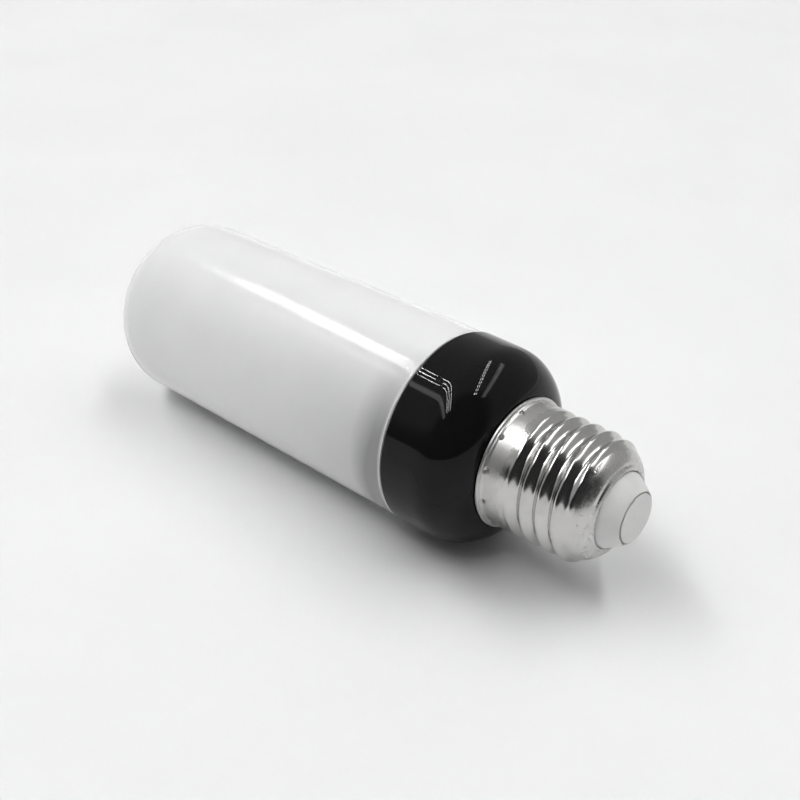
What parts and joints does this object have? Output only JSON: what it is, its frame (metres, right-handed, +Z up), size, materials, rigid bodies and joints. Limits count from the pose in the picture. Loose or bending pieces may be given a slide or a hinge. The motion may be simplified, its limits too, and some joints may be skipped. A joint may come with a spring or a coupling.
{
  "type": "flame effect led bulb",
  "caption": "Long opal tube with a domed end on a round-shouldered black collar and a threaded screw cap; gives a flickering flame-like light from lamps on an inner column.",
  "frame": {"origin": "on the surface that the bulb lies on, under the middle of its length", "axes": "+X along the bulb towards its cap, +Y across it, +Z up; the bulb's own axis is tipped half a degree, because it lies on its collar's rim and on the diffuser's far end"},
  "size_m": [0.1374, 0.0424, 0.0422],
  "materials": {
    "opal_diffuser": "opal polycarbonate, satin",
    "black_gloss_plastic": "polished black",
    "nickel_plate": "bright nickel plate on rolled sheet",
    "insulator_white": "white thermoset, satin",
    "tinned_contact": "tinned, matt",
    "column_white": "white moulded plastic",
    "lamp_board_white": "white solder mask",
    "board_green": "green solder mask",
    "screw_steel": "zinc plated",
    "can_sleeve": "shrunk dark sleeve",
    "ferrite": "sintered ferrite, matt dark grey",
    "copper_winding": "enamelled copper",
    "resistor_body": "lacquered",
    "chip_black": "moulded epoxy",
    "red_sleeve": "wire insulation",
    "black_sleeve": "wire insulation",
    "white_sleeve": "wire insulation"
  },
  "bodies": {
    "root": {"diffuser": "opal_diffuser", "collar": "black_gloss_plastic", "screw_shell": "nickel_plate", "cap_insulator": "insulator_white", "centre_contact": "tinned_contact", "led_column": "column_white", "foot_screw_1": "screw_steel", "foot_screw_2": "screw_steel", "led_flex_board": "lamp_board_white", "top_led_board": "lamp_board_white", "driver_board": "board_green", "input_capacitor": "can_sleeve", "output_capacitor": "can_sleeve", "choke_core": "ferrite", "choke_winding": "copper_winding", "fusible_resistor": "resistor_body", "bridge_rectifier": "chip_black", "driver_chip": "chip_black", "flame_controller_chip": "chip_black", "surface_resistor_1": "chip_black", "surface_resistor_2": "chip_black", "surface_resistor_3": "chip_black", "live_wire": "red_sleeve", "neutral_wire": "white_sleeve", "led_wire_positive": "red_sleeve", "led_wire_negative": "black_sleeve"}
  },
  "joints": []
}
